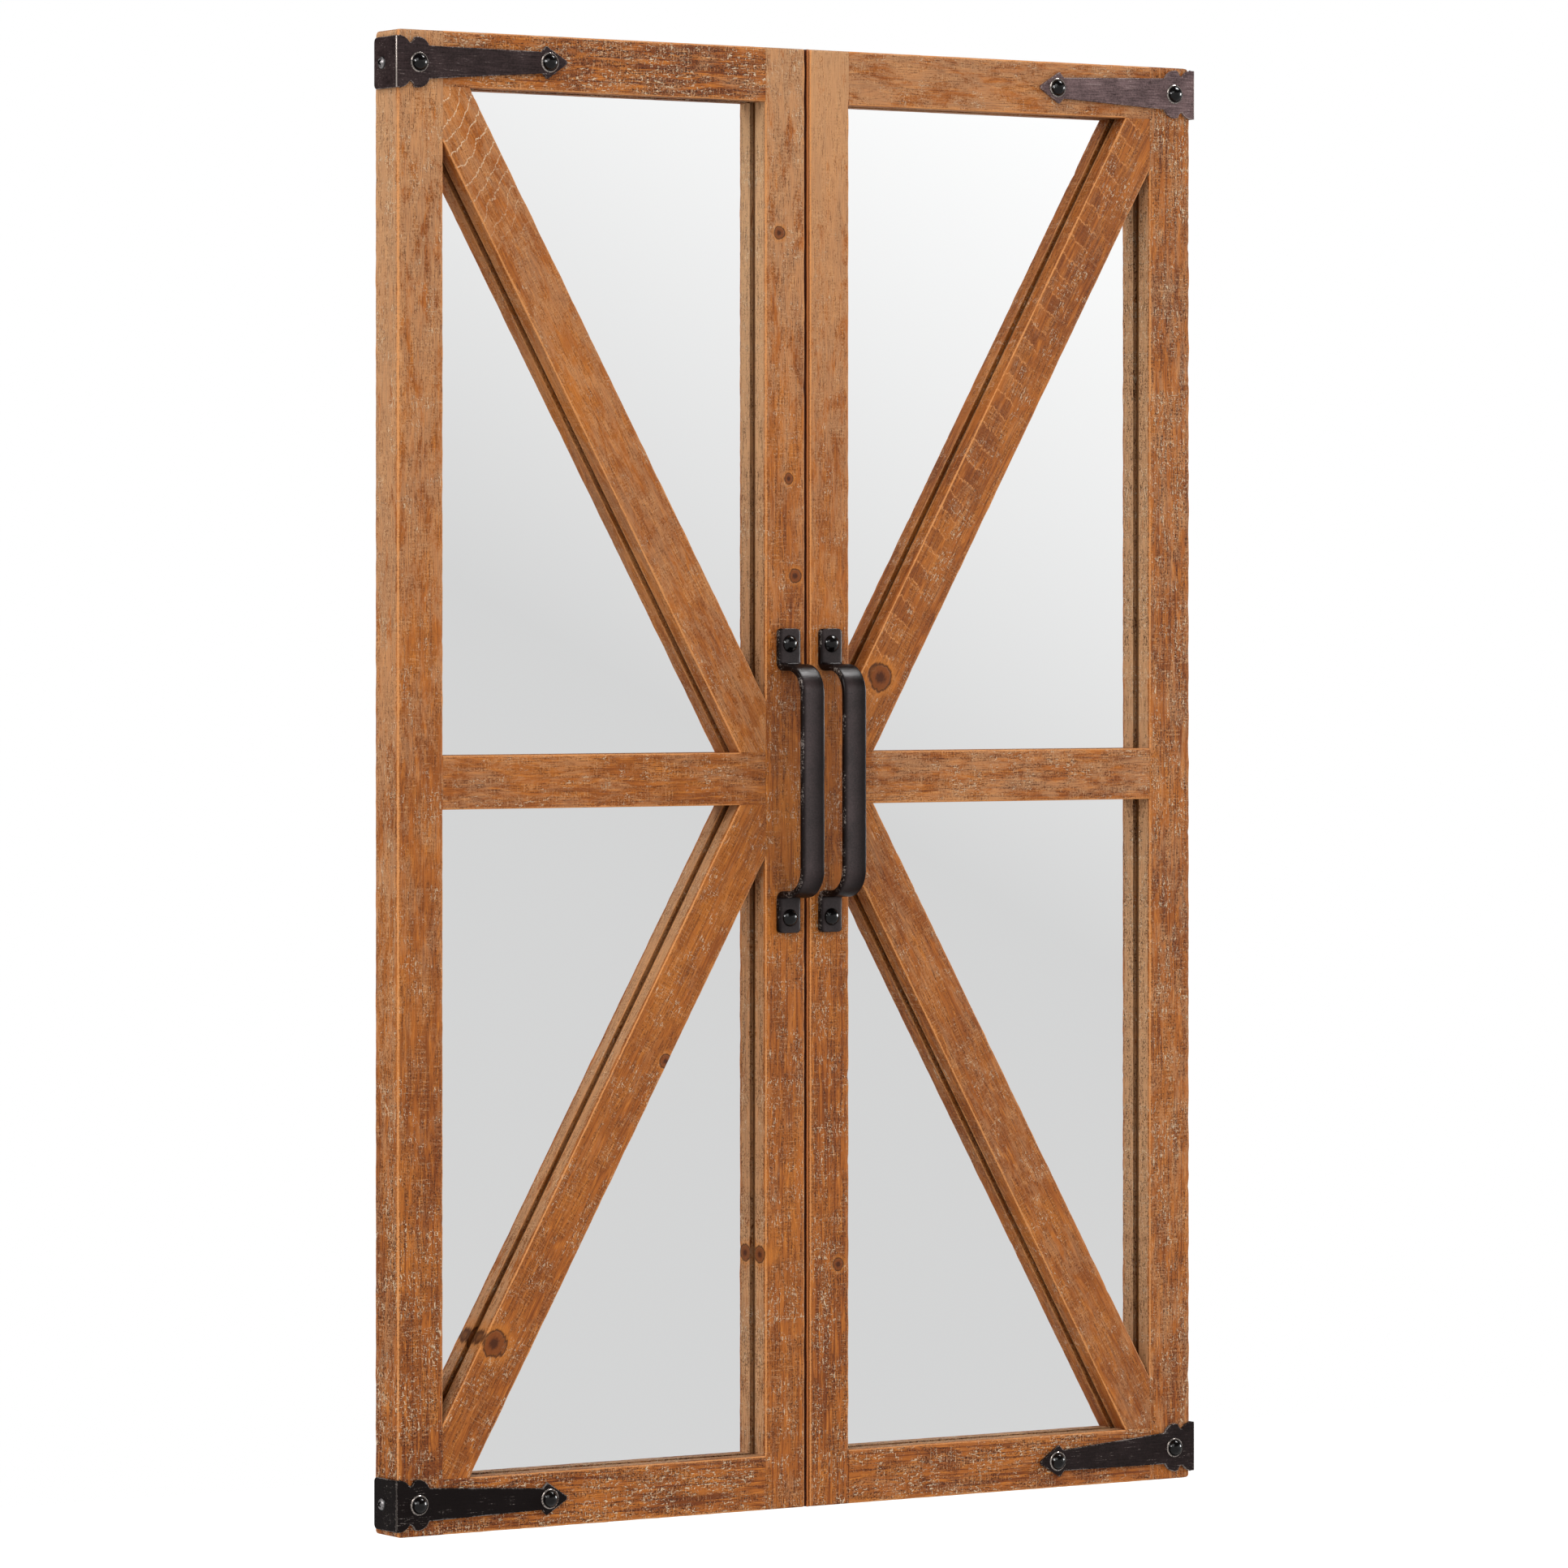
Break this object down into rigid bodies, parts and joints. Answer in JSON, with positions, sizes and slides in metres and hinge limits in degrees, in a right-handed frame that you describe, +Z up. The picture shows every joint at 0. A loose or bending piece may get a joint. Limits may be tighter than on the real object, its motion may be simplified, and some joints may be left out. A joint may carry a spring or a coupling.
{
  "type": "shutter mirror",
  "caption": "Wall mirror made as a closed pair of braced wooden shutters, with strap hinges at the corners, flat-bar pulls at the middle and swinging hanging rings behind.",
  "frame": {"origin": "on the wall, in the plane of the bumpers' faces, midway between the two hanging rings and level with the top inside of each ring, where the hooks bear", "axes": "+X to the right of someone who looks into the mirror, +Y back into the wall, +Z up; the mirror faces -Y"},
  "size_m": [0.5676, 0.062, 0.864],
  "materials": {
    "stained_pine": "brown-stained softwood, dry-brushed with a paler wash, lighter on the worn edges, low sheen",
    "dark_stained_pine": "dark-stained softwood, matt",
    "beech_dowel": "bare beech, smooth",
    "mirror_glass": "silvered float glass, polished",
    "bedding_tape": "black closed-cell foam",
    "hardboard": "brown hardboard, smooth side out",
    "black_iron": "satin black, slightly pitted, rubbed on the edges",
    "gloss_black_iron": "glossy black",
    "zinc_steel": "bright zinc plate",
    "grey_rubber": "matt grey rubber"
  },
  "bodies": {
    "frame": {"left_outer_stile": "stained_pine", "right_outer_stile": "stained_pine", "left_centre_stile": "stained_pine", "right_centre_stile": "stained_pine", "left_top_rail": "stained_pine", "right_top_rail": "stained_pine", "left_bottom_rail": "stained_pine", "right_bottom_rail": "stained_pine", "left_middle_rail": "stained_pine", "right_middle_rail": "stained_pine", "left_upper_brace": "stained_pine", "left_lower_brace": "stained_pine", "right_upper_brace": "stained_pine", "right_lower_brace": "stained_pine", "seam_bead": "dark_stained_pine", "frame_dowels": "beech_dowel", "left_mirror_pane": "mirror_glass", "right_mirror_pane": "mirror_glass", "left_bedding_tape": "bedding_tape", "right_bedding_tape": "bedding_tape", "backing_board": "hardboard", "backing_screws": "zinc_steel", "top_left_strap_hinge": "black_iron", "bottom_left_strap_hinge": "black_iron", "top_right_strap_hinge": "black_iron", "bottom_right_strap_hinge": "black_iron", "hinge_dome_nails": "gloss_black_iron", "hinge_side_screws": "black_iron", "left_pull_handle": "black_iron", "right_pull_handle": "black_iron", "handle_dome_screws": "gloss_black_iron", "left_hanger_strap": "zinc_steel", "right_hanger_strap": "zinc_steel", "hanger_screws": "zinc_steel", "wall_bumpers": "grey_rubber"},
    "left_ring": {"left_hanger_ring": "zinc_steel"},
    "right_ring": {"right_hanger_ring": "zinc_steel"}
  },
  "joints": [
    {"name": "left_ring_hinge", "type": "hinge", "parent": "frame", "child": "left_ring", "pos_m": [-0.269, -0.00317, -0.01175], "axis": [-1, 0, 0], "range_deg": [0, 165]},
    {"name": "right_ring_hinge", "type": "hinge", "parent": "frame", "child": "right_ring", "pos_m": [0.269, -0.00317, -0.01175], "axis": [-1, 0, 0], "range_deg": [0, 165]}
  ]
}
